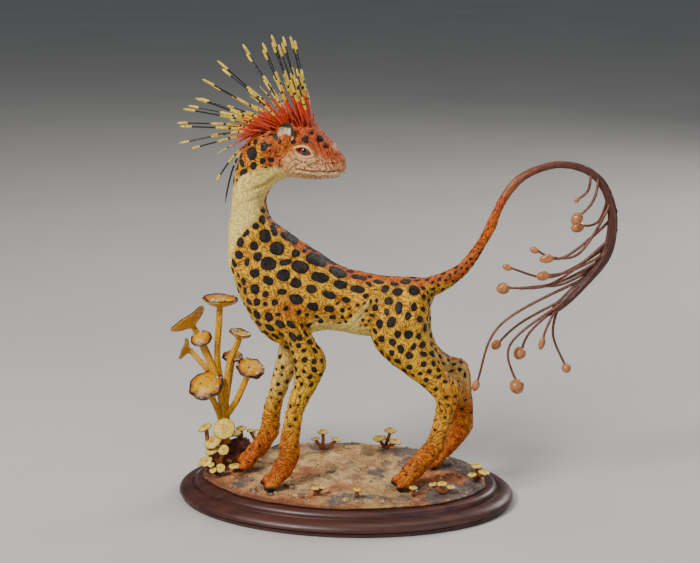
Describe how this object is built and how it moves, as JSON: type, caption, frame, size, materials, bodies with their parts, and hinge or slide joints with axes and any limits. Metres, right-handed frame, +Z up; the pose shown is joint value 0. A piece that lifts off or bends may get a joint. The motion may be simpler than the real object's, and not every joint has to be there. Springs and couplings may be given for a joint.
{
  "type": "fantasy animal sculpture",
  "caption": "Ornament: a spotted, long-necked fantasy creature with a quill crest and a stranded tail, among mushrooms on a moulded oval wooden base.",
  "frame": {"origin": "middle of the wooden base's underside", "axes": "+Z up, +X along the base from the chest towards the tail, +Y away from the shown side"},
  "size_m": [0.1772, 0.0954, 0.1865],
  "materials": {
    "skin": "painted clay, satin",
    "quills": "painted, red, black and yellow",
    "yellow_mushrooms": "painted clay, satin",
    "pale_mushrooms": "painted clay, satin",
    "ground": "painted clay, matt",
    "wood": "dark red-brown lacquer"
  },
  "bodies": {
    "root": {"creature": "skin", "ground": "ground", "pale_mushrooms": "pale_mushrooms", "quill_01": "quills", "quill_02": "quills", "quill_03": "quills", "quill_04": "quills", "quill_05": "quills", "quill_06": "quills", "quill_07": "quills", "quill_08": "quills", "quill_09": "quills", "quill_10": "quills", "quill_11": "quills", "quill_12": "quills", "quill_13": "quills", "quill_14": "quills", "quill_15": "quills", "quill_16": "quills", "quill_17": "quills", "quill_18": "quills", "quill_19": "quills", "quill_20": "quills", "quill_21": "quills", "quill_22": "quills", "quill_23": "quills", "quill_24": "quills", "quill_25": "quills", "quill_26": "quills", "quill_27": "quills", "quill_28": "quills", "quill_29": "quills", "quill_30": "quills", "quill_31": "quills", "quill_32": "quills", "quill_33": "quills", "quill_34": "quills", "quill_35": "quills", "quill_36": "quills", "small_mushrooms_back_left": "pale_mushrooms", "small_mushrooms_back_middle": "pale_mushrooms", "small_mushrooms_back_right": "pale_mushrooms", "small_mushrooms_front_centre": "pale_mushrooms", "small_mushrooms_front_left": "pale_mushrooms", "small_mushrooms_front_middle": "pale_mushrooms", "small_mushrooms_front_of_mound": "pale_mushrooms", "small_mushrooms_front_right": "pale_mushrooms", "small_mushrooms_mound": "pale_mushrooms", "small_mushrooms_right": "pale_mushrooms", "tall_mushrooms": "yellow_mushrooms", "wooden_base": "wood"}
  },
  "joints": []
}
